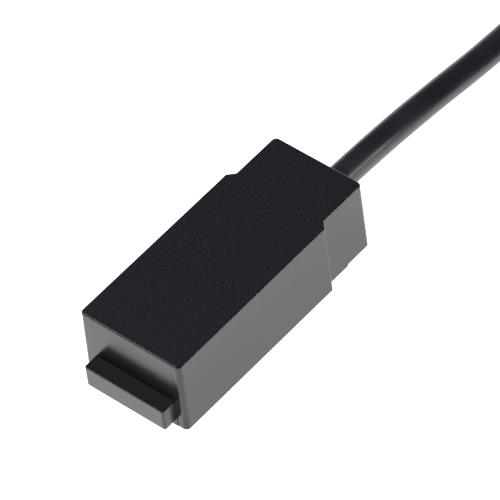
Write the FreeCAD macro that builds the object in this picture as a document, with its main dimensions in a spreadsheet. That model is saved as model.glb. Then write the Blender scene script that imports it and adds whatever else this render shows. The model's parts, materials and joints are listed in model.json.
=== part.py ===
import FreeCAD, Part
import math
import os
import Sketcher
from FreeCAD import Placement, Rotation, Vector

# Block proximity sensor: a moulded case 17.6 mm wide with a tab on its front end, the sensing coil,
# electronics and resin inside it, and a 4.2 mm cable that leaves the rear wall.
# X is across the case, Y runs from the tab (-Y) to the cable (+Y) and Z is up.
# The origin is the middle of the underside, halfway between the tab's front and the rear wall.

# ---------------------------------------------------------------- driving dimensions, in millimetres

DIMENSIONS = [
    ("body_width", "17.6", "case, across the wide stretch, at its top"),
    ("body_length", "40.2", "case, front face to rear wall, at its top"),
    ("body_height", "12.6", "case, underside to top"),
    ("draft", "0.75", "slope of the outer walls in degrees; they widen towards the underside"),
    ("wide_length", "31", "front face to the start of the side steps"),
    ("rear_inset", "1.05", "how far each side steps in, at 45 degrees"),
    ("wall", "1.2", "side and end walls"),
    ("top_wall", "0.9", "wall over the sensing coil"),
    ("corner_radius", "0.75", "upright corners of the case"),
    ("step_radius", "0.25", "upright edges of the side steps"),
    ("rim_radius", "0.23", "edge round the top of the case"),
    ("foot_radius", "0.15", "edge round the underside of the case"),
    ("tab_depth", "2.5", "how far the tab stands out of the foot of the front face"),
    ("tab_height", "3.6", "tab, bottom to top"),
    ("tab_lift", "1.55", "underside of the case to the tab's underside"),
    ("tab_corner_radius", "0.4", "upright corners of the tab"),
    ("tab_rim_radius", "0.12", "edges round the tab's top and underside"),
    ("cap_left_reach", "6.76", "centre plane to the front cap's left edge"),
    ("cap_right_reach", "7.35", "centre plane to the front cap's right edge"),
    ("cap_proud", "0.1", "how far the front cap stands out at its foot; its top is flush"),
    ("cap_lift", "0.15", "underside of the case to the front cap's underside"),
    ("cap_drop", "0.3", "top of the case to the top of the cap's opening"),
    ("joint_gap", "0.02", "gap round the front cap and the base cover"),
    ("cover_thickness", "1", "base cover"),
    ("heel_length", "4.85", "raised stretch of underside at the rear end"),
    ("heel_rise", "0.4", "how far that stretch is raised"),
    ("heel_floor", "1", "floor of the case over the raised stretch"),
    ("cable_diameter", "4.2", "jacketed cable"),
    ("cable_height", "5.6", "cable axis above the underside where it leaves"),
    ("grommet_neck", "2.9", "radius of the bush in the rear wall"),
    ("grommet_flange", "3.4", "radius of its flange inside the wall"),
    ("grommet_lip", "3.1", "radius of its lip outside the wall"),
    ("grommet_tip", "2.5", "radius of its outer end"),
    ("flange_thickness", "1", "its flange"),
    ("lip_length", "1.6", "how far it stands out of the rear wall"),
    ("clamp_radius", "2.7", "outside of the crimped ring"),
    ("clamp_length", "2", "crimped ring"),
    ("jacket_end", "15.6", "Y of the jacket's end inside the case"),
    ("core_radius", "7", "half pot core"),
    ("core_rim_inner", "5.8", "inside radius of its outer wall"),
    ("core_post", "3", "radius of its centre post"),
    ("core_bore", "1.5", "radius of the hole through the post"),
    ("core_height", "4.2", "half pot core"),
    ("core_floor", "1.3", "its closed side"),
    ("core_film", "0.1", "resin between the core and the sensing wall"),
    ("core_y", "-10.2", "Y of its axis"),
    ("slot_half", "1.5", "lead slot in the core's outer wall, centre plane to side"),
    ("bobbin_inner", "3.1", "radius of the bobbin's bore"),
    ("bobbin_hub", "3.5", "radius of the bobbin's hub"),
    ("bobbin_outer", "5.65", "radius of the bobbin's flanges"),
    ("bobbin_flange", "0.35", "thickness of each flange"),
    ("bobbin_height", "2.6", "bobbin"),
    ("winding_outer", "5.3", "radius of the full winding"),
    ("board_length", "28.4", "circuit board"),
    ("board_width", "12.8", "circuit board"),
    ("board_thickness", "0.8", "circuit board"),
    ("board_front", "-16.9", "Y of its front edge"),
    ("board_bottom", "4.35", "Z of its underside"),
    ("guide_radius", "0.9", "light guide"),
    ("guide_reach", "5.3", "centre plane to the light guide's axis"),
    ("guide_height", "6.2", "Z of the light guide's axis"),
    ("guide_start", "11.1", "Y of the light guide's inner end"),
    ("guide_dome", "0.08", "how far its outer end stands proud"),
    ("wire_radius", "0.6", "insulated wire"),
    ("coil_x", "26.4", "X of the put-away coil's axis"),
    ("coil_y", "79", "Y of the put-away coil's axis"),
    ("coil_middle", "21.8", "radius at the middle of the coil's turns"),
    ("coil_foot", "0.001", "Z of the coil's underside"),
    ("turns_across", "3", "turns side by side"),
    ("turns_up", "5", "layers of turns"),
    ("layer_pitch", "4.1", "from one layer to the next"),
    ("tie_thickness", "0.5", "tie round the coil"),
    ("tie_width", "5", "tie round the coil"),
    ("foot_growth", "=body_height * tan(draft)", "how far each wall's foot stands outside its top"),
    ("half_width", "=body_width / 2", "centre plane to side, at the top"),
    ("narrow_half", "=half_width - rear_inset", "the same, rear stretch"),
    ("foot_half", "=half_width + foot_growth", "centre plane to side, at the underside"),
    ("foot_narrow_half", "=narrow_half + foot_growth", "the same, rear stretch"),
    ("overall_length", "=body_length + 2 * foot_growth + tab_depth", "tab front to rear wall"),
    ("rear_y", "=overall_length / 2", "foot of the rear wall, outside"),
    ("tab_front_y", "=-overall_length / 2", "tab, front"),
    ("front_y", "=tab_front_y + tab_depth", "foot of the front face"),
    ("wide_end_y", "=front_y + wide_length", "start of the side steps"),
    ("step_end_y", "=wide_end_y + rear_inset", "end of the side steps"),
    ("front_inner_y", "=front_y + foot_growth + wall", "front wall, inside"),
    ("rear_inner_y", "=rear_y - foot_growth - wall", "rear wall, inside"),
    ("inner_half", "=half_width - wall", "centre plane to the wall, inside"),
    ("narrow_inner_half", "=narrow_half - wall", "the same, rear stretch"),
    ("inner_step_y", "=wide_end_y - wall / 2", "start of the steps inside"),
    ("inner_step_end_y", "=inner_step_y + rear_inset", "end of the steps inside"),
    ("heel_y", "=rear_y - heel_length", "start of the raised underside"),
    ("heel_top", "=heel_rise + heel_floor", "floor inside, over the raised stretch"),
    ("ceiling", "=body_height - top_wall", "top wall, inside"),
    ("cap_top", "=body_height - cap_drop", "top of the front cap's opening"),
    ("cap_head", "=cap_top - joint_gap", "Z of the cap's upper edge"),
    ("tab_top", "=tab_lift + tab_height", "Z of the tab's top"),
    ("cap_foot_y", "=front_y - cap_proud", "front of the cap, at its foot"),
    ("cap_head_y", "=front_y + foot_growth * cap_head / body_height", "front of the cap, at its top"),
    ("cap_slope", "=(cap_head_y - cap_foot_y) / (cap_head - cap_lift)", "rearward lean of its face"),
    ("tab_root_low_y", "=cap_foot_y + cap_slope * (tab_lift - cap_lift)", "where the tab's underside starts"),
    ("tab_root_high_y", "=cap_foot_y + cap_slope * (tab_top - cap_lift)", "where the tab's top starts"),
    ("cap_width", "=cap_left_reach + cap_right_reach - 2 * joint_gap", "front cap"),
    ("cap_left", "=joint_gap - cap_left_reach", "front cap, left edge"),
    ("opening_left", "=-cap_left_reach", "front opening, left edge"),
    ("cover_half", "=inner_half - joint_gap", "base cover, centre plane to side"),
    ("cover_narrow_half", "=narrow_inner_half - joint_gap", "the same, rear stretch"),
    ("cover_front_y", "=front_inner_y + joint_gap", "base cover, front edge"),
    ("cover_rear_y", "=heel_y - joint_gap", "base cover, rear edge"),
    ("core_top", "=ceiling - core_film", "Z of the core's open side"),
    ("core_bottom", "=core_top - core_height", "Z of the core's closed side"),
    ("core_inside", "=core_bottom + core_floor", "Z of the core's floor"),
    ("bobbin_bottom", "=core_inside + 0.1", "Z of the bobbin's lower flange"),
    ("bobbin_top", "=bobbin_bottom + bobbin_height", "Z of the bobbin's upper face"),
    ("winding_bottom", "=bobbin_bottom + bobbin_flange", "Z of the winding's lower face"),
    ("winding_top", "=bobbin_top - bobbin_flange", "Z of the winding's upper face"),
    ("board_top", "=board_bottom + board_thickness", "Z of the board's upper face"),
    ("board_rear", "=board_front + board_length", "Y of the board's rear edge"),
    ("cable_radius", "=cable_diameter / 2", "jacketed cable"),
    ("flange_front_y", "=rear_inner_y - flange_thickness", "bush, inner end"),
    ("lip_end_y", "=rear_y + lip_length", "bush, outer end"),
    ("clamp_rear_y", "=flange_front_y", "crimped ring, rear end"),
    ("clamp_front_y", "=clamp_rear_y - clamp_length", "crimped ring, front end"),
    ("coil_outer", "=coil_middle + turns_across * cable_radius", "outside radius of the coil"),
    ("coil_inner", "=coil_middle - turns_across * cable_radius", "inside radius of the coil"),
    ("coil_height", "=tie_thickness + (turns_up - 1) * layer_pitch + cable_diameter", "coil"),
    ("coil_edge", "=cable_radius / 2", "rounding of the coil's section, as a chamfer"),
    ("coil_outer_edge", "=coil_outer - coil_edge", "start of the outer chamfer"),
    ("coil_inner_edge", "=coil_inner + coil_edge", "start of the inner chamfer"),
    ("coil_shoulder", "=coil_height - coil_edge", "Z of the upper chamfers"),
    ("top_turn_z", "=coil_height - cable_radius", "Z of the top layer's axis"),
    ("inner_turn", "=coil_middle - cable_diameter", "radius of the innermost turns"),
]

doc = FreeCAD.newDocument("proximity_sensor")
sheet = doc.addObject("Spreadsheet::Sheet", "dims")
for row, (alias, content, note) in enumerate(DIMENSIONS, start=1):
    sheet.set(f"A{row}", note)
    sheet.set(f"B{row}", content)
    sheet.setAlias(f"B{row}", alias)
doc.recompute()


def value(name):
    """The number in a named cell of the sheet; a leading minus sign turns it round."""
    sign, alias = (-1, name[1:]) if name.startswith("-") else (1, name)
    return sign * float(sheet.get(alias))


def bound(name):
    """The expression that ties a property to a named cell."""
    return f"-dims.{name[1:]}" if name.startswith("-") else f"dims.{name}"


# ---------------------------------------------------------------- sketches and features

nodes = []
# lengths closer than this count as equal
TOUCH = 1e-4


def new_body(label):
    """A named sub-part made of sketches and features."""
    body = doc.addObject("PartDesign::Body", label)
    body.Label = label
    nodes.append(body)
    return body


def new_sketch(body, plane, lift=None):
    """A sketch on one of the body's origin planes, moved along the plane's normal by a named size."""
    sketch = body.newObject("Sketcher::SketchObject", f"{body.Name}_sketch")
    origin_plane = next(f for f in body.Origin.OriginFeatures if f.Role == plane)
    sketch.AttachmentSupport = [(origin_plane, "")]
    sketch.MapMode = "FlatFace"
    if lift:
        sketch.setExpression("AttachmentOffset.Base.z", bound(lift))
    return sketch


def pin(sketch, kind, geometry, point, name):
    """Ties one coordinate of a point of the sketch to a named size."""
    constraint = Sketcher.Constraint(kind, -1, 1, geometry, point, value(name))
    sketch.setExpression(f"Constraints[{sketch.addConstraint(constraint)}]", bound(name))


def outline(sketch, corners):
    """A closed outline of straight sides whose corners are tied to named sizes."""
    points = [Vector(value(x), value(y), 0) for x, y in corners]
    count = len(points)
    for i in range(count):
        sketch.addGeometry(Part.LineSegment(points[i], points[(i + 1) % count]), False)
    for i, (x, y) in enumerate(corners):
        sketch.addConstraint(Sketcher.Constraint("Coincident", i, 2, (i + 1) % count, 1))
        pin(sketch, "DistanceX", i, 1, x)
        pin(sketch, "DistanceY", i, 1, y)


def rectangle(sketch, left, right, front, rear):
    """A rectangle between four named sizes."""
    outline(sketch, [(left, front), (right, front), (right, rear), (left, rear)])


def stepped_plan(sketch, half, narrow_half, front, step, step_end, rear):
    """The case's plan, seen from above: wide in front, narrow behind slanted steps; all are named sizes."""
    outline(
        sketch,
        [
            (f"-{half}", front),
            (half, front),
            (half, step),
            (narrow_half, step_end),
            (narrow_half, rear),
            (f"-{narrow_half}", rear),
            (f"-{narrow_half}", step_end),
            (f"-{half}", step),
        ],
    )


def circle(sketch, x, y, radius):
    """A circle whose centre and radius are named sizes; x may be None, for the centre line."""
    centre = Vector(value(x) if x else 0, value(y), 0)
    index = sketch.addGeometry(Part.Circle(centre, Vector(0, 0, 1), value(radius)), False)
    if x:
        pin(sketch, "DistanceX", index, 3, x)
    else:
        sketch.addConstraint(Sketcher.Constraint("PointOnObject", index, 3, -2))
    pin(sketch, "DistanceY", index, 3, y)
    size = sketch.addConstraint(Sketcher.Constraint("Radius", index, value(radius)))
    sketch.setExpression(f"Constraints[{size}]", bound(radius))


def pad(body, sketch, length):
    """Adds the sketch's outline, as thick as a named size."""
    feature = body.newObject("PartDesign::Pad", f"{body.Name}_pad")
    feature.Profile = sketch
    feature.setExpression("Length", bound(length))
    doc.recompute()
    return feature


def pocket(body, sketch, depth):
    """Cuts the sketch's outline out of the body, along the sketch's normal."""
    before = body.Shape.Volume
    feature = body.newObject("PartDesign::Pocket", f"{body.Name}_pocket")
    feature.Profile = sketch
    feature.Reversed = True
    feature.setExpression("Length", bound(depth))
    doc.recompute()
    if body.Shape.Volume > before - 1e-3:
        raise RuntimeError(f"{feature.Label} cuts nothing")
    return feature


def fillet(body, radius, chosen):
    """Rounds the edges of the body for which chosen(bounding box) is true."""
    base = body.Tip
    names = [f"Edge{i}" for i, edge in enumerate(base.Shape.Edges, start=1) if chosen(edge.BoundBox)]
    feature = body.newObject("PartDesign::Fillet", f"{body.Name}_fillet")
    feature.Base = (base, names)
    feature.setExpression("Radius", bound(radius))
    doc.recompute()
    return feature


def lean_walls(body, angle):
    """Leans the body's upright faces inward from their feet at Z 0, by a named angle."""
    base = body.Tip
    full = base.Shape.Volume
    names = [f"Face{i}" for i, face in enumerate(base.Shape.Faces, start=1) if face.BoundBox.ZLength > TOUCH]
    feature = body.newObject("PartDesign::Draft", f"{body.Name}_draft")
    feature.Base = (base, names)
    ground = next(f for f in body.Origin.OriginFeatures if f.Role == "XY_Plane")
    feature.NeutralPlane = (ground, [""])
    feature.setExpression("Angle", bound(angle))
    doc.recompute()
    if feature.Shape.Volume > full:
        feature.Reversed = True
        doc.recompute()
    return feature


def turned(label, plane, profile):
    """A ring: a closed profile of (radius, place along the axis) turned about the sketch's upright axis."""
    body = new_body(label)
    sketch = new_sketch(body, plane)
    outline(sketch, profile)
    feature = body.newObject("PartDesign::Revolution", f"{label}_turn")
    feature.Profile = sketch
    feature.ReferenceAxis = (sketch, ["V_Axis"])
    feature.Angle = 360
    doc.recompute()
    return body


def upright(box):
    """Whether an edge's bounding box is that of an edge that is upright but for the walls' draft."""
    lean = 0.05 * box.ZLength
    return box.ZLength > TOUCH and box.XLength < lean and box.YLength < lean


def at_height(box, height):
    """Whether an edge's bounding box lies flat at that height."""
    return abs(box.ZMin - height) < TOUCH and abs(box.ZMax - height) < TOUCH


# ---------------------------------------------------------------- the case

# the main room inside the case, in front of the heel, as stepped_plan takes it
ROOM = ("inner_half", "narrow_inner_half", "front_inner_y", "inner_step_y", "inner_step_end_y", "heel_y")


def make_housing():
    """The moulded case: stepped sides, textured top, open underside and front, cable hole at the rear."""
    body = new_body("housing_shell")
    plan = new_sketch(body, "XY_Plane")
    stepped_plan(plan, "foot_half", "foot_narrow_half", "front_y", "wide_end_y", "step_end_y", "rear_y")
    pad(body, plan, "body_height")
    lean_walls(body, "draft")
    front, rear, step = value("front_y"), value("rear_y"), value("wide_end_y")
    fillet(
        body,
        "corner_radius",
        lambda box: upright(box) and (abs(box.YMin - front) < TOUCH or abs(box.YMax - rear) < TOUCH),
    )
    fillet(body, "step_radius", lambda box: upright(box) and abs(box.YMax - step) < TOUCH)
    fillet(body, "rim_radius", lambda box: at_height(box, value("body_height")))
    fillet(body, "foot_radius", lambda box: at_height(box, 0))

    cavity = new_sketch(body, "XY_Plane")
    stepped_plan(cavity, *ROOM)
    pocket(body, cavity, "ceiling")

    heel_room = new_sketch(body, "XY_Plane", "heel_top")
    rectangle(heel_room, "-narrow_inner_half", "narrow_inner_half", "board_rear", "rear_inner_y")
    room = pocket(body, heel_room, "body_height")
    room.setExpression("Length", "dims.ceiling - dims.heel_top")

    opening = new_sketch(body, "XY_Plane")
    rectangle(opening, "opening_left", "cap_right_reach", "tab_front_y", "front_inner_y")
    pocket(body, opening, "cap_top")

    heel = new_sketch(body, "XY_Plane")
    rectangle(heel, "-body_width", "body_width", "heel_y", "body_length")
    pocket(body, heel, "heel_rise")

    holes = new_sketch(body, "XZ_Plane", "-rear_y")
    circle(holes, None, "cable_height", "grommet_neck")
    circle(holes, "-guide_reach", "guide_height", "guide_radius")
    bores = pocket(body, holes, "wall")
    bores.setExpression("Length", "dims.wall + dims.foot_growth")
    return body


def make_front_cap():
    """The panel let into the front end, in one piece with the tab."""
    body = new_body("front_cap")
    profile = new_sketch(body, "YZ_Plane", "cap_left")
    outline(
        profile,
        [
            ("front_inner_y", "cap_lift"),
            ("front_inner_y", "cap_head"),
            ("cap_head_y", "cap_head"),
            ("tab_root_high_y", "tab_top"),
            ("tab_front_y", "tab_top"),
            ("tab_front_y", "tab_lift"),
            ("tab_root_low_y", "tab_lift"),
            ("cap_foot_y", "cap_lift"),
        ],
    )
    pad(body, profile, "cap_width")
    front = value("tab_front_y")
    fillet(body, "tab_corner_radius", lambda box: upright(box) and abs(box.YMin - front) < TOUCH)
    root = value("tab_root_low_y")
    levels = (value("tab_lift"), value("tab_top"))
    fillet(
        body,
        "tab_rim_radius",
        lambda box: box.YMin < root - TOUCH and any(at_height(box, level) for level in levels),
    )
    return body


def make_base_cover():
    """The plate that closes the underside in front of the raised heel."""
    body = new_body("base_cover")
    plan = new_sketch(body, "XY_Plane")
    stepped_plan(
        plan,
        "cover_half",
        "cover_narrow_half",
        "cover_front_y",
        "inner_step_y",
        "inner_step_end_y",
        "cover_rear_y",
    )
    pad(body, plan, "cover_thickness")
    return body


# ---------------------------------------------------------------- the sensing coil


def make_ferrite_core():
    """A half pot core with its open side up, and a slot in its outer wall for the coil's leads."""
    body = turned(
        "ferrite_core",
        "XZ_Plane",
        [
            ("core_bore", "core_bottom"),
            ("core_radius", "core_bottom"),
            ("core_radius", "core_top"),
            ("core_rim_inner", "core_top"),
            ("core_rim_inner", "core_inside"),
            ("core_post", "core_inside"),
            ("core_post", "core_top"),
            ("core_bore", "core_top"),
        ],
    )
    slot = new_sketch(body, "XY_Plane", "core_inside")
    outline(
        slot,
        [
            ("-slot_half", "core_post"),
            ("slot_half", "core_post"),
            ("slot_half", "half_width"),
            ("-slot_half", "half_width"),
        ],
    )
    pocket(body, slot, "core_height")
    body.setExpression("Placement.Base.y", "dims.core_y")
    return body


def make_bobbin():
    """The winding former."""
    body = turned(
        "coil_bobbin",
        "XZ_Plane",
        [
            ("bobbin_inner", "bobbin_bottom"),
            ("bobbin_outer", "bobbin_bottom"),
            ("bobbin_outer", "winding_bottom"),
            ("bobbin_hub", "winding_bottom"),
            ("bobbin_hub", "winding_top"),
            ("bobbin_outer", "winding_top"),
            ("bobbin_outer", "bobbin_top"),
            ("bobbin_inner", "bobbin_top"),
        ],
    )
    body.setExpression("Placement.Base.y", "dims.core_y")
    return body


def make_winding():
    """The copper winding, as one ring."""
    body = turned(
        "coil_winding",
        "XZ_Plane",
        [
            ("bobbin_hub", "winding_bottom"),
            ("winding_outer", "winding_bottom"),
            ("winding_outer", "winding_top"),
            ("bobbin_hub", "winding_top"),
        ],
    )
    body.setExpression("Placement.Base.y", "dims.core_y")
    return body


# ---------------------------------------------------------------- tubes along a route

SHARE_OF_RUN = 0.45


def route_wire(points):
    """Straight runs between the points, joined by arcs as large as the runs allow. Also gives the radii."""
    edges, radii = [], []
    start = points[0]
    for before, corner, after in zip(points, points[1:], points[2:]):
        arriving = (corner - before).normalize()
        leaving = (after - corner).normalize()
        shorter = min((corner - before).Length, (after - corner).Length)
        reach = SHARE_OF_RUN * shorter
        half_turn = arriving.getAngle(leaving) / 2
        radii.append(reach / math.tan(half_turn))
        arc_start = corner - arriving * reach
        arc_end = corner + leaving * reach
        inward = (leaving - arriving).normalize()
        centre_distance = radii[-1] / math.cos(half_turn)
        middle = corner + inward * (centre_distance - radii[-1])
        edges.append(Part.LineSegment(start, arc_start).toShape())
        edges.append(Part.Arc(arc_start, middle, arc_end).toShape())
        start = arc_end
    edges.append(Part.LineSegment(start, points[-1]).toShape())
    return Part.Wire(edges), radii


def tube_shape(points, radius):
    """A round tube along the route; its volume is compared with its section times its length."""
    path, radii = route_wire(points)
    ring = Part.Wire(Part.makeCircle(radius, points[0], points[1] - points[0]))
    shape = path.makePipeShell([ring], True, True)
    expected = math.pi * radius**2 * path.Length
    if abs(shape.Volume - expected) > 0.01 * expected:
        raise RuntimeError(f"tube volume {shape.Volume:.2f} instead of {expected:.2f}")
    return shape, radii


def new_shape(label, shape):
    """A named sub-part whose shape is worked out from the sheet's sizes."""
    feature = doc.addObject("Part::Feature", label)
    feature.Label = label
    feature.Shape = shape
    nodes.append(feature)
    return feature


# the winding's leads and the solder beside their ends
LEAD_RADIUS = 0.15
LEAD_SPACING = 1.2
LEAD_CLEARANCE = 0.8
LEAD_JOINT_HEIGHT = 0.5
SOLDER_RADIUS = 0.45
# how much wider than a wire the resin's channel for it is
RESIN_GAP = 0.03


def make_coil_leads():
    """The winding's two ends: out through the core's slot and down to the board."""
    outside = value("core_y") + value("core_radius") + LEAD_CLEARANCE
    level = (value("winding_bottom") + value("winding_top")) / 2
    leads, rooms = [], []
    for x in (-LEAD_SPACING / 2, LEAD_SPACING / 2):
        route = [
            Vector(x, value("core_y") + value("winding_outer"), level),
            Vector(x, outside, level),
            Vector(x, outside, value("board_top")),
        ]
        leads.append(tube_shape(route, LEAD_RADIUS)[0])
        route[0] = Vector(x, value("core_y") + value("core_post"), level)
        rooms.append(tube_shape(route, LEAD_RADIUS + RESIN_GAP)[0])
    return new_shape("coil_leads", Part.makeCompound(leads)), rooms


# ---------------------------------------------------------------- the electronics

LEG_OVERLAP = 0.1
LED_HALF_WIDTH = 0.95
LED_DEPTH = 1.1

# label, centre X, centre Y, body size, legs on the -X and the +X side, leg size
CHIPS = (
    ("sensing_chip", -2.6, 1.6, (3.9, 4.9, 1.5), (4, 4), (0.4, 1, 0.5)),
    ("output_transistor", 4, 6.4, (2.5, 4.5, 1.5), (3, 1), (0.45, 0.9, 0.4)),
    ("voltage_regulator", 4.1, 0.4, (1.6, 2.9, 1.1), (3, 2), (0.4, 0.6, 0.35)),
)
# label, centres' X, centres' Y, size; all of these are on the board's underside
SURFACE_PARTS = (
    ("protection_diodes", (-3.6, 0, 3.6), 6.4, (2.6, 4.3, 2.1)),
    ("capacitors", (-4.2, -1.4, 1.4, 4.2), 0, (1.6, 3.2, 1.3)),
    ("resistors", (-4, -2, 0, 2, 4), -5, (0.8, 1.6, 0.45)),
)


def block(label, spans):
    """A plain block between three pairs of expressions: from and to, along X, Y and Z."""
    box = doc.addObject("Part::Box", label)
    box.Label = label
    for size, place, (low, high) in zip(("Length", "Width", "Height"), "xyz", spans):
        box.setExpression(size, f"({high}) - ({low})")
        box.setExpression(f"Placement.Base.{place}", low)
    return box


def joined(label, pieces):
    """One sub-part fused from several primitives."""
    fuse = doc.addObject("Part::MultiFuse", label)
    fuse.Label = label
    fuse.Shapes = pieces
    nodes.append(fuse)
    return fuse


def grouped(label, pieces):
    """One sub-part that holds several separate, alike pieces."""
    group = doc.addObject("Part::Compound", label)
    group.Label = label
    group.Links = pieces
    nodes.append(group)
    return group


def make_board():
    """The circuit board, from under the sensing coil to the cable's wires."""
    board = block(
        "circuit_board",
        [
            ("-dims.board_width / 2", "dims.board_width / 2"),
            ("dims.board_front", "dims.board_rear"),
            ("dims.board_bottom", "dims.board_top"),
        ],
    )
    nodes.append(board)
    return board


def chip(label, x, y, size, legs, leg):
    """A moulded chip on top of the board: its body and a row of legs on each side named in legs.

    size is (across X, along Y, height); legs gives the number on the -X and the +X side; leg is
    (width, length, height).
    """
    wide, deep, high = size
    leg_wide, leg_long, leg_high = leg
    pieces = [
        block(
            f"{label}_body",
            [
                (str(x - wide / 2), str(x + wide / 2)),
                (str(y - deep / 2), str(y + deep / 2)),
                ("dims.board_top", f"dims.board_top + {high}"),
            ],
        )
    ]
    for side, count in zip((-1, 1), legs):
        inner = x + side * (wide / 2 - LEG_OVERLAP)
        outer = x + side * (wide / 2 + leg_long)
        for i in range(count):
            middle = y + deep * ((i + 0.5) / count - 0.5)
            pieces.append(
                block(
                    f"{label}_leg",
                    [
                        (str(min(inner, outer)), str(max(inner, outer))),
                        (str(middle - leg_wide / 2), str(middle + leg_wide / 2)),
                        ("dims.board_top", f"dims.board_top + {leg_high}"),
                    ],
                )
            )
    return joined(label, pieces)


def surface_parts(label, places, y, size):
    """A row of alike small parts on the board's underside, as one group."""
    wide, deep, high = size
    pieces = []
    for x in places:
        pieces.append(
            block(
                f"{label}_one",
                [
                    (str(x - wide / 2), str(x + wide / 2)),
                    (str(y - deep / 2), str(y + deep / 2)),
                    (f"dims.board_bottom - {high}", "dims.board_bottom"),
                ],
            )
        )
    return grouped(label, pieces)


def make_led():
    """The status LED, which shines into the light guide."""
    led = block(
        "status_led",
        [
            (f"-dims.guide_reach - {LED_HALF_WIDTH}", f"-dims.guide_reach + {LED_HALF_WIDTH}"),
            (f"dims.guide_start - {LED_DEPTH}", "dims.guide_start"),
            ("dims.board_top", "dims.guide_height + dims.guide_radius"),
        ],
    )
    nodes.append(led)
    return led


def make_light_guide():
    """A clear rod from the LED through the rear wall."""
    rod = doc.addObject("Part::Cylinder", "light_guide")
    rod.Label = "light_guide"
    rod.Placement = Placement(Vector(), Rotation(Vector(1, 0, 0), -90))
    rod.setExpression("Radius", "dims.guide_radius")
    rod.setExpression("Height", "dims.rear_y + dims.guide_dome - dims.guide_start")
    rod.setExpression("Placement.Base.x", "-dims.guide_reach")
    rod.setExpression("Placement.Base.y", "dims.guide_start")
    rod.setExpression("Placement.Base.z", "dims.guide_height")
    nodes.append(rod)
    return rod


# ---------------------------------------------------------------- cable entry


def make_grommet():
    """The rubber bush: flange inside the rear wall, neck in it and a tapered lip outside."""
    body = turned(
        "cable_grommet",
        "XY_Plane",
        [
            ("cable_radius", "flange_front_y"),
            ("grommet_flange", "flange_front_y"),
            ("grommet_flange", "rear_inner_y"),
            ("grommet_neck", "rear_inner_y"),
            ("grommet_neck", "rear_y"),
            ("grommet_lip", "rear_y"),
            ("grommet_tip", "lip_end_y"),
            ("cable_radius", "lip_end_y"),
        ],
    )
    body.setExpression("Placement.Base.z", "dims.cable_height")
    return body


def make_clamp():
    """The ring crimped on the jacket, which bears on the bush."""
    body = turned(
        "cable_clamp",
        "XY_Plane",
        [
            ("cable_radius", "clamp_front_y"),
            ("clamp_radius", "clamp_front_y"),
            ("clamp_radius", "clamp_rear_y"),
            ("cable_radius", "clamp_rear_y"),
        ],
    )
    body.setExpression("Placement.Base.z", "dims.cable_height")
    return body


WIRE_COLOURS = ("brown", "blue", "black")
# the wires' pads on the board, and the solder on them
PAD_PITCH = 2.9
PAD_JOINT_Y = 9.1
PAD_JOINT_HEIGHT = 1.1
WIRE_END_Y = 10.1
# the wires' distance from the cable's axis inside the jacket, and their height over the board
WIRE_RING = 0.75
WIRE_LIFT = 0.06
# the straight stretch out of the jacket, and where the wires have come down to the board
JACKET_STRAIGHT = 1.4
FAN_OUT = 3.4
FAN_SHARE = 0.9


def make_inner_wires():
    """The cable's three wires, fanned out from the jacket's end to their pads on the board."""
    level = value("board_top") + value("wire_radius") + WIRE_LIFT
    jacket = value("jacket_end")
    wires, rooms = [], []
    for i, colour in enumerate(WIRE_COLOURS):
        turn = math.radians(90 + 120 * (i - 1))
        start = Vector(
            -WIRE_RING * math.cos(turn),
            jacket,
            value("cable_height") + WIRE_RING * math.sin(turn),
        )
        pad_x = (i - 1) * PAD_PITCH
        route = [
            start,
            start + Vector(0, -JACKET_STRAIGHT, 0),
            Vector(pad_x * FAN_SHARE, jacket - FAN_OUT, level),
            Vector(pad_x, WIRE_END_Y, level),
        ]
        wires.append(new_shape(f"inner_wire_{colour}", tube_shape(route, value("wire_radius"))[0]))
        rooms.append(tube_shape(route, value("wire_radius") + RESIN_GAP)[0])
    return wires, rooms


def make_solder_joints():
    """The solder on the three wires' pads and beside the coil leads' ends, as one group of cones."""
    lead_y = value("core_y") + value("core_radius") + LEAD_CLEARANCE + LEAD_RADIUS + SOLDER_RADIUS
    top = value("board_top")
    joints = []
    for i in range(len(WIRE_COLOURS)):
        place = Vector((i - 1) * PAD_PITCH, PAD_JOINT_Y, top)
        joints.append(Part.makeCone(SOLDER_RADIUS * 2, SOLDER_RADIUS, PAD_JOINT_HEIGHT, place))
    for x in (-LEAD_SPACING / 2, LEAD_SPACING / 2):
        place = Vector(x, lead_y, top)
        joints.append(Part.makeCone(SOLDER_RADIUS, SOLDER_RADIUS / 2, LEAD_JOINT_HEIGHT, place))
    return new_shape("solder_joints", Part.makeCompound(joints))


# ---------------------------------------------------------------- the free cable

# The cable's route from the jacket's end inside the case: straight out of the rear wall, sagging to the
# surface, then along it to the put-away coil.
CABLE_ROUTE = [
    (0, 15.6, 5.6),
    (0, 26, 5.6),
    (0.2, 42, 4.8),
    (0.4, 60.5, 2.35),
    (0.4, 79, 2.6),
]


def make_cable():
    """The jacketed cable up to the coil, which it enters beside the outermost turn."""
    points = [Vector(*point) for point in CABLE_ROUTE]
    shape, radii = tube_shape(points, value("cable_radius"))
    print("cable arc radii:", [round(radius, 1) for radius in radii])
    return new_shape("cable", shape)


def round_block(label, radius, angle, low, high):
    """An upright cylinder, or a slice of one, about the coil's axis."""
    drum = doc.addObject("Part::Cylinder", label)
    drum.Label = label
    drum.setExpression("Radius", radius)
    drum.setExpression("Height", f"({high}) - ({low})")
    drum.setExpression("Placement.Base.x", "dims.coil_x")
    drum.setExpression("Placement.Base.y", "dims.coil_y")
    drum.setExpression("Placement.Base.z", low)
    drum.Angle = angle
    return drum


def cut(label, base, tool, keep=False):
    """The base with the tool's shape cut out of it; keep makes it a sub-part."""
    difference = doc.addObject("Part::Cut", label)
    difference.Label = label
    difference.Base = base
    difference.Tool = tool
    if keep:
        nodes.append(difference)
    return difference


# the groove for the stripped wires: from the +X side round to this angle, in degrees
TAIL_ANGLE = 176
# how far the tie reaches into the coil's middle, and the overhang of the cuts
TIE_REACH = 0.2
OVERHANG = 1


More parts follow.
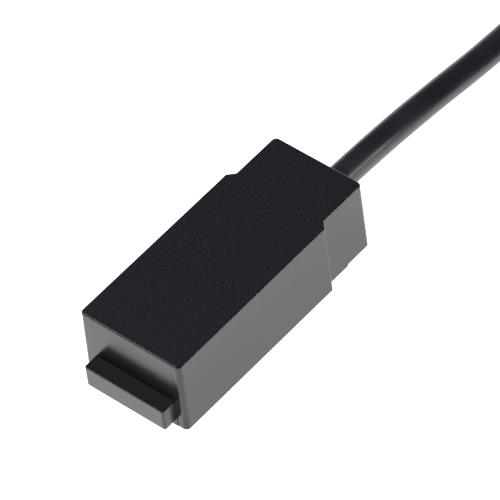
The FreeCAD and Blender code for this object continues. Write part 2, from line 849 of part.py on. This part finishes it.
def make_coil_and_tie():
    """The outer shape of the put-away coil, with the top inner turn's last half left free for the wires."""
    ring = turned(
        "coil_ring",
        "XZ_Plane",
        [
            ("coil_inner", "coil_foot"),
            ("coil_outer", "coil_foot"),
            ("coil_outer", "coil_shoulder"),
            ("coil_outer_edge", "coil_height"),
            ("coil_inner_edge", "coil_height"),
            ("coil_inner", "coil_shoulder"),
        ],
    )
    nodes.remove(ring)
    ring.setExpression("Placement.Base.x", "dims.coil_x")
    ring.setExpression("Placement.Base.y", "dims.coil_y")
    floor_of_groove = "dims.top_turn_z - dims.cable_radius"
    groove = round_block(
        "tail_groove",
        "dims.inner_turn + dims.cable_radius",
        TAIL_ANGLE,
        floor_of_groove,
        f"dims.coil_height + {OVERHANG}",
    )
    grooved = cut("grooved_ring", ring, groove)
    outside = [
        (f"dims.coil_x + dims.coil_inner - {TIE_REACH}", "dims.coil_x + dims.coil_outer"),
        ("dims.coil_y - dims.tie_width / 2", "dims.coil_y + dims.tie_width / 2"),
        ("0", "dims.coil_height"),
    ]
    inside = [
        (f"{outside[0][0]} + dims.tie_thickness", f"{outside[0][1]} - dims.tie_thickness"),
        (f"{outside[1][0]} - {OVERHANG}", f"{outside[1][1]} + {OVERHANG}"),
        ("dims.tie_thickness", "dims.coil_height - dims.tie_thickness"),
    ]
    band = cut("coil_tie", block("tie_outside", outside), block("tie_inside", inside), keep=True)
    coil = cut("cable_coil", grooved, band, keep=True)
    return coil, band


def polar(radius, degrees, height):
    """A point about the coil's axis."""
    angle = math.radians(degrees)
    return Vector(
        value("coil_x") + radius * math.cos(angle), value("coil_y") + radius * math.sin(angle), height
    )


# the stripped wires: their first point's angle, the angle between points, and their spacing
TAIL_START = 172
TAIL_STEP = 22
TAIL_POINTS = 7
TAIL_SPACING = 1.25
TAIL_LIFT = 0.05
TIP_RADIUS = 0.35
TIP_LENGTH = 5


def make_tails():
    """The three stripped wires past the jacket's end, lying in the top of the coil, and their tinned tips."""
    resting = value("top_turn_z") - value("cable_radius") + value("wire_radius") + TAIL_LIFT
    tips = []
    for i, colour in enumerate(WIRE_COLOURS):
        spread = (i - 1) * TAIL_SPACING
        route = []
        for k in range(TAIL_POINTS):
            height = resting if k > 1 else value("top_turn_z")
            route.append(polar(value("inner_turn") + spread, TAIL_START - TAIL_STEP * k, height))
        new_shape(f"tail_wire_{colour}", tube_shape(route, value("wire_radius"))[0])
        end = route[-1]
        along = (route[-1] - route[-2]).normalize()
        tips.append(Part.makeCylinder(TIP_RADIUS, TIP_LENGTH, end, along))
    return new_shape("tinned_ends", Part.makeCompound(tips))


# ---------------------------------------------------------------- the resin


def make_potting(surrounded):
    """The resin: the room in the case, less the shapes that it surrounds."""
    plan = new_body("potting_room")
    nodes.remove(plan)
    sketch = new_sketch(plan, "XY_Plane", "cover_thickness")
    stepped_plan(sketch, *ROOM)
    main_pad = pad(plan, sketch, "ceiling")
    main_pad.setExpression("Length", "dims.ceiling - dims.cover_thickness")
    heel_sketch = new_sketch(plan, "XY_Plane", "heel_top")
    rectangle(heel_sketch, "-narrow_inner_half", "narrow_inner_half", "board_rear", "rear_inner_y")
    heel_pad = pad(plan, heel_sketch, "ceiling")
    heel_pad.setExpression("Length", "dims.ceiling - dims.heel_top")
    doc.recompute()
    shape = plan.Shape.copy()
    for piece in surrounded:
        shape = shape.cut(piece)
    return new_shape("potting_compound", shape.removeSplitter())


# ---------------------------------------------------------------- the assembly

make_housing()
make_front_cap()
make_base_cover()
doc.recompute()
core = make_ferrite_core()
bobbin = make_bobbin()
winding = make_winding()
lead_rooms = make_coil_leads()[1]
board = make_board()
inside = [core, bobbin, winding, board]
inside += [chip(*row) for row in CHIPS]
inside += [surface_parts(*row) for row in SURFACE_PARTS]
inside += [make_led(), make_light_guide(), make_grommet(), make_clamp()]
doc.recompute()
wire_rooms = make_inner_wires()[1]
inside += [make_solder_joints(), make_cable()]
make_coil_and_tie()
make_tails()
doc.recompute()
make_potting([piece.Shape for piece in inside] + lead_rooms + wire_rooms)
doc.recompute()

for item in doc.Objects:
    if "Invalid" in item.State or "Error" in item.State:
        raise RuntimeError(f"{item.Label} failed: {item.State}")
labels = [node.Label for node in nodes]
if len(set(labels)) != len(labels):
    raise RuntimeError("two sub-parts have the same name")
for node in nodes:
    if node.Shape.isNull() or not node.Shape.isValid():
        raise RuntimeError(f"{node.Label} has no valid shape")

os.makedirs("parts", exist_ok=True)
for node in nodes:
    node.Shape.exportStep(f"parts/{node.Label}.step")
    box = node.Shape.BoundBox
    print(f"{node.Label}: {len(node.Shape.Solids)} solids, {node.Shape.Volume:.1f} mm3, z from {box.ZMin:.2f}")
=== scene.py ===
import json
import math

import bpy
from mathutils import Matrix, Vector


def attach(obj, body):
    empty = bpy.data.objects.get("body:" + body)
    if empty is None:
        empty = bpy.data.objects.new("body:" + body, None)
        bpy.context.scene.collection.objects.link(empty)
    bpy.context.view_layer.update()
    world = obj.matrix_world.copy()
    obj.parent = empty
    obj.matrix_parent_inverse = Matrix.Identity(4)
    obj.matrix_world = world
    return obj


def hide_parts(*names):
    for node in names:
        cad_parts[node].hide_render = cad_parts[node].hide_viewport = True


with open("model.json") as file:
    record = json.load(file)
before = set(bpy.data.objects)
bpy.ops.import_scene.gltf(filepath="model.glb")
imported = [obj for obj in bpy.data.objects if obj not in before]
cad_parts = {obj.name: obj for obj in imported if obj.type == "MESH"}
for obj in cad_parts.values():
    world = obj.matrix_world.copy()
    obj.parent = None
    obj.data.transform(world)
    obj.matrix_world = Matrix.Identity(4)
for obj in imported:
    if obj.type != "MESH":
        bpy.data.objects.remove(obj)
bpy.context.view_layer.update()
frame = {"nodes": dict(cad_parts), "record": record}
MM = 0.001

# ---------------------------------------------------------------- camera

CAMERA_PLACE = Vector((0.33011, -0.3202, 0.52149))
CAMERA_AIM = Vector((0.00054, 0.00545, 0.00889))
CAMERA_ROLL = math.radians(7.444)
SENSOR_MM = 36
LENS_MM = 364.9


def make_camera():
    """A long lens from above, in front and to the right of the sensor."""
    data = bpy.data.cameras.new("camera")
    data.sensor_width = SENSOR_MM
    data.lens = LENS_MM
    data.clip_start = 0.01
    data.clip_end = 20
    camera = bpy.data.objects.new("camera", data)
    back = (CAMERA_PLACE - CAMERA_AIM).normalized()
    level = Vector((0, 0, 1)).cross(back).normalized()
    upright = back.cross(level)
    right = level * math.cos(CAMERA_ROLL) - upright * math.sin(CAMERA_ROLL)
    up = level * math.sin(CAMERA_ROLL) + upright * math.cos(CAMERA_ROLL)
    axes = Matrix((right, up, back)).transposed()
    camera.matrix_world = Matrix.Translation(CAMERA_PLACE) @ axes.to_4x4()
    bpy.context.scene.collection.objects.link(camera)
    bpy.context.scene.camera = camera


# ---------------------------------------------------------------- node materials


class Nodes:
    """A short way to write a node tree: make nodes, join sockets and give them values."""

    def __init__(self, tree):
        self.tree = tree

    def add(self, kind, values=None, **settings):
        """A node with its settings, and its inputs set to numbers or joined to sockets."""
        node = self.tree.nodes.new(kind)
        for name, setting in settings.items():
            setattr(node, name, setting)
        for name, given in (values or {}).items():
            if isinstance(given, bpy.types.NodeSocket):
                self.tree.links.new(given, node.inputs[name])
            else:
                node.inputs[name].default_value = given
        return node

    def place(self):
        """The point of the surface in the row frame, in metres."""
        return self.add("ShaderNodeNewGeometry").outputs["Position"]

    def noise(self, grain, detail=3, roughness=0.55):
        """Cloudy noise from 0 to 1 with features about grain metres across."""
        values = {
            "Vector": self.place(),
            "Scale": 1 / grain,
            "Detail": detail,
            "Roughness": roughness,
        }
        return self.add("ShaderNodeTexNoise", values).outputs["Fac"]

    def remap(self, factor, low, high, to_low=0.0, to_high=1.0):
        """The factor's range from low to high, spread over another range and held at its ends."""
        values = {
            "Value": factor,
            "From Min": low,
            "From Max": high,
            "To Min": to_low,
            "To Max": to_high,
        }
        return self.add("ShaderNodeMapRange", values, clamp=True).outputs["Result"]

    def mix(self, factor, first, second):
        """A number between two numbers or sockets."""
        return self.add("ShaderNodeMix", {0: factor, 2: first, 3: second}, data_type="FLOAT").outputs[0]

    def blend(self, factor, first, second):
        """A colour between two colours or sockets."""
        return self.add("ShaderNodeMix", {0: factor, 6: first, 7: second}, data_type="RGBA").outputs[2]

    def bump(self, height, depth, strength=1.0):
        """A normal from a height, whose 0 to 1 stands for depth metres."""
        values = {"Height": height, "Distance": depth, "Strength": strength}
        return self.add("ShaderNodeBump", values).outputs["Normal"]

    def maths(self, operation, first, second=0.0):
        """One arithmetic step."""
        return self.add("ShaderNodeMath", {0: first, 1: second}, operation=operation).outputs[0]


def material(name):
    """A new node material, with its nodes' short way and its shader."""
    made = bpy.data.materials.new(name)
    made.use_nodes = True
    shader = made.node_tree.nodes["Principled BSDF"]
    return made, Nodes(made.node_tree), shader


def join(nodes, shader, **sockets):
    """Joins sockets to the shader's inputs, or gives them values; _ stands for a space in a name."""
    for name, given in sockets.items():
        socket = shader.inputs[name.replace("_", " ")]
        if isinstance(given, bpy.types.NodeSocket):
            nodes.tree.links.new(given, socket)
        else:
            socket.default_value = given


def grey(level, blue=1.0):
    """A near-neutral colour."""
    return (level, level, level * blue, 1)


# the normal's Z at which the top's texture starts and is full
TEXTURE_START = 0.93
TEXTURE_FULL = 0.995
GRAIN = 0.2 * MM
PIT = 0.3 * MM
GRAIN_SHARE = 0.7
PIT_SHARE = 0.5
SATIN_GRAIN = 0.12 * MM
SATIN_DEPTH = 0.0006 * MM
CASE_CLOUD = 9 * MM
TOP_BLUE = 1.7


def case_material(name, dark, light, texture):
    """Black moulding: spark-eroded texture, texture metres deep, on its top; fine satin elsewhere.

    The top's colour lies between the greys dark and light.
    """
    made, nodes, shader = material(name)
    normal = nodes.add("ShaderNodeNewGeometry").outputs["Normal"]
    upward = nodes.add("ShaderNodeSeparateXYZ", {0: normal}).outputs["Z"]
    top = nodes.remap(upward, TEXTURE_START, TEXTURE_FULL)
    grains = nodes.noise(GRAIN, detail=4, roughness=0.6)
    cells = {"Vector": nodes.place(), "Scale": 1 / PIT}
    pits = nodes.add("ShaderNodeTexVoronoi", cells, feature="SMOOTH_F1").outputs["Distance"]
    grain_height = nodes.maths("MULTIPLY", grains, GRAIN_SHARE)
    pit_height = nodes.maths("MULTIPLY", pits, PIT_SHARE)
    erosion = nodes.maths("ADD", grain_height, pit_height)
    satin = nodes.noise(SATIN_GRAIN, detail=2)
    cloud = nodes.noise(CASE_CLOUD, detail=4)
    top_bump = nodes.bump(erosion, texture, strength=0.9)
    side_bump = nodes.bump(satin, SATIN_DEPTH, strength=0.5)
    bumps = {0: top, 4: side_bump, 5: top_bump}
    mixed = nodes.add("ShaderNodeMix", bumps, data_type="VECTOR").outputs[1]
    speckle = nodes.remap(grains, 0.42, 0.62)
    top_colour = nodes.blend(speckle, grey(dark, TOP_BLUE), grey(light, TOP_BLUE))
    side_colour = nodes.blend(cloud, grey(0.008), grey(0.012))
    side_roughness = nodes.remap(cloud, 0.3, 0.7, 0.2, 0.26)
    top_roughness = nodes.remap(grains, 0.3, 0.7, 0.5, 0.62)
    join(
        nodes,
        shader,
        Base_Color=nodes.blend(top, side_colour, top_colour),
        Roughness=nodes.mix(top, side_roughness, top_roughness),
        Normal=mixed,
        IOR=1.5,
    )
    return made


PLASTIC_CLOUD = 6 * MM


def plastic(name, colour, other, roughness, grain, depth):
    """A moulded surface: two close colours in soft clouds, uneven gloss and a fine bump."""
    made, nodes, shader = material(name)
    clouds = nodes.noise(PLASTIC_CLOUD, detail=4)
    fine = nodes.noise(grain, detail=3)
    join(
        nodes,
        shader,
        Base_Color=nodes.blend(nodes.remap(clouds, 0.3, 0.7), colour, other),
        Roughness=nodes.remap(clouds, 0.3, 0.7, roughness[0], roughness[1]),
        Normal=nodes.bump(fine, depth, strength=0.6),
        IOR=1.5,
    )
    return made


def metal(name, colour, roughness, grain):
    """A bare metal surface with uneven gloss."""
    made, nodes, shader = material(name)
    darker = tuple(channel * 0.8 for channel in colour[:3]) + (1,)
    fine = nodes.noise(grain, detail=4)
    join(
        nodes,
        shader,
        Base_Color=nodes.blend(nodes.remap(fine, 0.3, 0.7), colour, darker),
        Roughness=nodes.remap(fine, 0.3, 0.7, roughness, roughness + 0.15),
        Normal=nodes.bump(fine, 0.01 * MM, strength=0.4),
        Metallic=1.0,
    )
    return made


def clear(name):
    """Clear polycarbonate."""
    made, nodes, shader = material(name)
    fine = nodes.noise(0.4 * MM, detail=3)
    join(
        nodes,
        shader,
        Base_Color=(0.85, 0.87, 0.85, 1),
        Roughness=nodes.remap(fine, 0.3, 0.7, 0.12, 0.2),
        Normal=nodes.bump(fine, 0.004 * MM),
        Transmission_Weight=0.85,
        IOR=1.58,
    )
    return made


MATERIALS = {
    "case": case_material("moulded_case", 0.002, 0.034, 0.05 * MM),
    # the cap is the same black moulding as the case; its much darker top colour is painted shade,
    # standing in for the shadow the front face casts on the ledge's top
    "cap": case_material("moulded_cap_painted_shade", 0.001, 0.003, 0.005 * MM),
    "cover": plastic("matt_cover", grey(0.012), grey(0.018), (0.42, 0.5), 0.15 * MM, 0.006 * MM),
    "jacket": plastic(
        "pvc_jacket", grey(0.034, 1.25), grey(0.055, 1.25), (0.3, 0.4), 0.35 * MM, 0.012 * MM
    ),
    "bush": plastic("rubber_bush", grey(0.01), grey(0.016), (0.55, 0.65), 0.2 * MM, 0.008 * MM),
    "clamp": metal("crimped_brass", (0.7, 0.55, 0.28, 1), 0.3, 0.3 * MM),
    "ferrite": plastic("ferrite", grey(0.03), grey(0.05), (0.45, 0.6), 0.1 * MM, 0.01 * MM),
    "bobbin": plastic(
        "natural_nylon", (0.62, 0.58, 0.48, 1), (0.7, 0.66, 0.56, 1), (0.35, 0.45), 0.2 * MM, 0.004 * MM
    ),
    "copper": metal("enamelled_copper", (0.75, 0.33, 0.16, 1), 0.22, 0.15 * MM),
    "board": plastic(
        "solder_mask", (0.015, 0.12, 0.05, 1), (0.02, 0.15, 0.06, 1), (0.25, 0.35), 0.3 * MM, 0.006 * MM
    ),
    "chip": plastic("chip_moulding", grey(0.015), grey(0.025), (0.45, 0.55), 0.08 * MM, 0.006 * MM),
    "capacitor": plastic(
        "ceramic_body", (0.35, 0.22, 0.12, 1), (0.42, 0.28, 0.16, 1), (0.4, 0.5), 0.1 * MM, 0.005 * MM
    ),
    "lens": clear("clear_polycarbonate"),
    "wire_brown": plastic(
        "brown_insulation",
        (0.1, 0.035, 0.012, 1),
        (0.13, 0.045, 0.018, 1),
        (0.3, 0.4),
        0.2 * MM,
        0.005 * MM,
    ),
    "wire_blue": plastic(
        "blue_insulation",
        (0.012, 0.06, 0.3, 1),
        (0.016, 0.08, 0.36, 1),
        (0.3, 0.4),
        0.2 * MM,
        0.005 * MM,
    ),
    "wire_black": plastic("black_insulation", grey(0.01), grey(0.016), (0.3, 0.4), 0.2 * MM, 0.005 * MM),
    "solder": metal("tinned_copper", (0.75, 0.75, 0.77, 1), 0.25, 0.2 * MM),
    "resin": plastic("cast_resin", grey(0.01), grey(0.016), (0.2, 0.35), 0.5 * MM, 0.01 * MM),
    "tie": plastic("tie_plastic", grey(0.014), grey(0.02), (0.4, 0.5), 0.3 * MM, 0.01 * MM),
}


def dress_nodes():
    """Gives every CAD node the material of its slot in the record."""
    for part in frame["record"]["subparts"]:
        node = frame["nodes"][part["node"]]
        node.data.materials.clear()
        node.data.materials.append(MATERIALS[part["material_slot"]])


# ---------------------------------------------------------------- the cable

CABLE_DIAMETER = 4.2 * MM
# the route from the jacket's end inside the case to the coil, in millimetres
CABLE_ROUTE = [
    (0, 15.6, 5.6),
    (0, 26, 5.6),
    (0.2, 42, 4.8),
    (0.4, 60.5, 2.35),
    (0.4, 79, 2.6),
]
COIL_X, COIL_Y = 26.4, 79
COIL_MIDDLE = 21.8
TURNS_ACROSS = 3
LAYERS = 5
LAYER_PITCH = 4.1
FIRST_TURN_Z = CABLE_ROUTE[-1][2]
POINTS_A_TURN = 16
STEP_POINTS = 5


def eased(share):
    """A smooth rise from 0 to 1."""
    return share * share * (3 - 2 * share)


def coil_points():
    """The turns of the put-away cable, which cross each layer and come back across the next."""
    offsets = [CABLE_DIAMETER / MM * (1 - j) for j in range(TURNS_ACROSS)]
    turns = []
    for layer in range(LAYERS):
        across = offsets if layer % 2 == 0 else offsets[::-1]
        turns += [(COIL_MIDDLE + offset, FIRST_TURN_Z + LAYER_PITCH * layer) for offset in across]
    points = []
    for (radius, height), following in zip(turns, turns[1:]):
        for k in range(POINTS_A_TURN):
            share = eased(max(0, k - POINTS_A_TURN + STEP_POINTS) / STEP_POINTS)
            turn_radius = radius + (following[0] - radius) * share
            angle = math.pi - 2 * math.pi * k / POINTS_A_TURN
            x = COIL_X + turn_radius * math.cos(angle)
            y = COIL_Y + turn_radius * math.sin(angle)
            points.append((x, y, height + (following[1] - height) * share))
    end_radius, end_height = turns[-1]
    points.append((COIL_X - end_radius, COIL_Y, end_height))
    return points


def make_cable():
    """The jacketed cable as one smooth line: out of the rear wall, down to the surface, into its coil."""
    points = CABLE_ROUTE[:-1] + coil_points()
    curve = bpy.data.curves.new("cable_jacket", "CURVE")
    curve.dimensions = "3D"
    curve.bevel_depth = CABLE_DIAMETER / 2
    curve.bevel_resolution = 7
    curve.resolution_u = 8
    curve.use_fill_caps = True
    line = curve.splines.new("NURBS")
    line.points.add(len(points) - 1)
    for point, (x, y, z) in zip(line.points, points):
        point.co = (x * MM, y * MM, z * MM, 1)
    line.order_u = 3
    line.use_endpoint_u = True
    cable = bpy.data.objects.new("cable_jacket", curve)
    bpy.context.scene.collection.objects.link(cable)
    curve.materials.append(MATERIALS["jacket"])
    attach(cable, "root")
    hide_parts("cable", "cable_coil")


# ---------------------------------------------------------------- floor and light

FLOOR_SIZE = 12
FLOOR_GAP = 0.02 * MM


def make_floor():
    """A plain pale floor, bright enough to wash out every shadow."""
    mesh = bpy.data.meshes.new("floor")
    half = FLOOR_SIZE / 2
    corners = [(-half, -half, 0), (half, -half, 0), (half, half, 0), (-half, half, 0)]
    mesh.from_pydata(corners, [], [(0, 1, 2, 3)])
    floor = bpy.data.objects.new("floor", mesh)
    floor.location.z = -FLOOR_GAP
    bpy.context.scene.collection.objects.link(floor)
    made, nodes, shader = material("pale_floor")
    join(
        nodes,
        shader,
        Base_Color=grey(0.85),
        Roughness=0.9,
        Specular_IOR_Level=0.0,
        Emission_Color=(1, 1, 1, 1),
        Emission_Strength=1.62,
    )
    mesh.materials.append(made)


def make_softbox(name, direction, distance, size, strength):
    """A square area light that faces the sensor."""
    data = bpy.data.lights.new(name, "AREA")
    data.shape = "SQUARE"
    data.size = size
    data.energy = strength
    light = bpy.data.objects.new(name, data)
    towards = Vector(direction).normalized()
    light.location = towards * distance
    light.rotation_euler = towards.to_track_quat("Z", "Y").to_euler()
    bpy.context.scene.collection.objects.link(light)


def make_light():
    """Dark surroundings, a soft light from the front left and a small low one that streaks the cable."""
    world = bpy.data.worlds.new("surroundings")
    bpy.context.scene.world = world
    world.use_nodes = True
    background = world.node_tree.nodes["Background"]
    background.inputs["Color"].default_value = (0.9, 0.95, 1.0, 1)
    background.inputs["Strength"].default_value = 0.06
    make_softbox("front_left_softbox", (-0.48, -0.2, 0.85), 1.4, 0.45, 7)
    make_softbox("low_right_softbox", (0.84, 0.5, 0.21), 0.5, 0.08, 0.45)
    bpy.context.scene.view_settings.view_transform = "Standard"


make_camera()
make_cable()
dress_nodes()
make_floor()
make_light()
